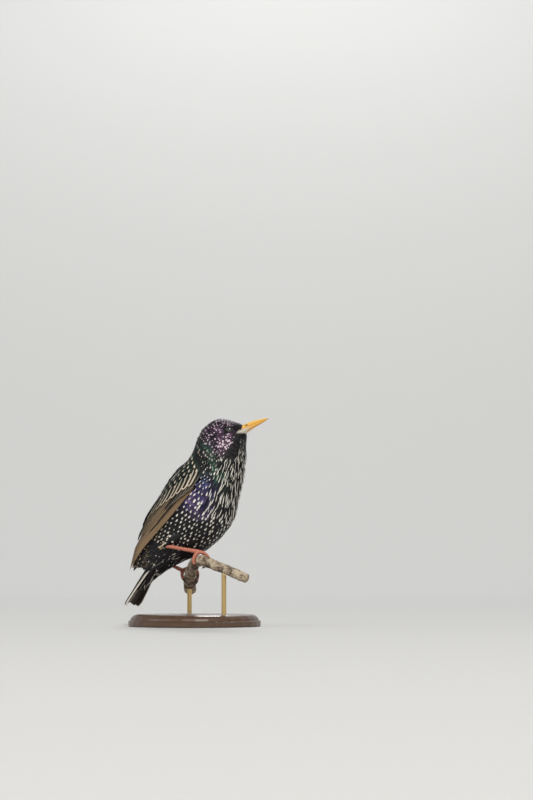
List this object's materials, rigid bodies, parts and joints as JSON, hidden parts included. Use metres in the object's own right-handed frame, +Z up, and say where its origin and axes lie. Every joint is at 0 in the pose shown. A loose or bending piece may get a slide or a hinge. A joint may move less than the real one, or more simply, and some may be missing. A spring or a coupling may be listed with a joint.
{
  "type": "starling",
  "caption": "Life-size still model of a spotted common starling in winter plumage, perched on a short cut length of branch that a small round stand carries.",
  "frame": {"origin": "centre of the underside of the stand's base", "axes": "+X the way the bird faces, +Y its left side, +Z up"},
  "size_m": [0.1281, 0.112, 0.1754],
  "materials": {
    "plumage": "satin",
    "wing_feathers": "satin",
    "tail_feathers": "satin",
    "bill": "satin",
    "eye": "gloss",
    "leg": "satin",
    "claw": "satin",
    "bark": "matte",
    "base_wood": "satin",
    "rod": "satin"
  },
  "bodies": {
    "root": {"head": "plumage", "neck": "plumage", "torso": "plumage", "rump": "plumage", "thigh_right": "plumage", "thigh_left": "plumage", "bill_upper": "bill", "bill_lower": "bill", "eye_right": "eye", "eye_left": "eye", "wing_right": "wing_feathers", "wing_left": "wing_feathers", "tail": "tail_feathers", "tarsus_right": "leg", "tarsus_left": "leg", "foot_right": "leg", "foot_left": "leg", "claw_right_hind": "claw", "claw_right_inner": "claw", "claw_right_middle": "claw", "claw_right_outer": "claw", "claw_left_hind": "claw", "claw_left_inner": "claw", "claw_left_middle": "claw", "claw_left_outer": "claw", "perch_branch": "bark", "stand_base": "base_wood", "stand_rod_1": "rod", "stand_rod_2": "rod"}
  },
  "joints": []
}
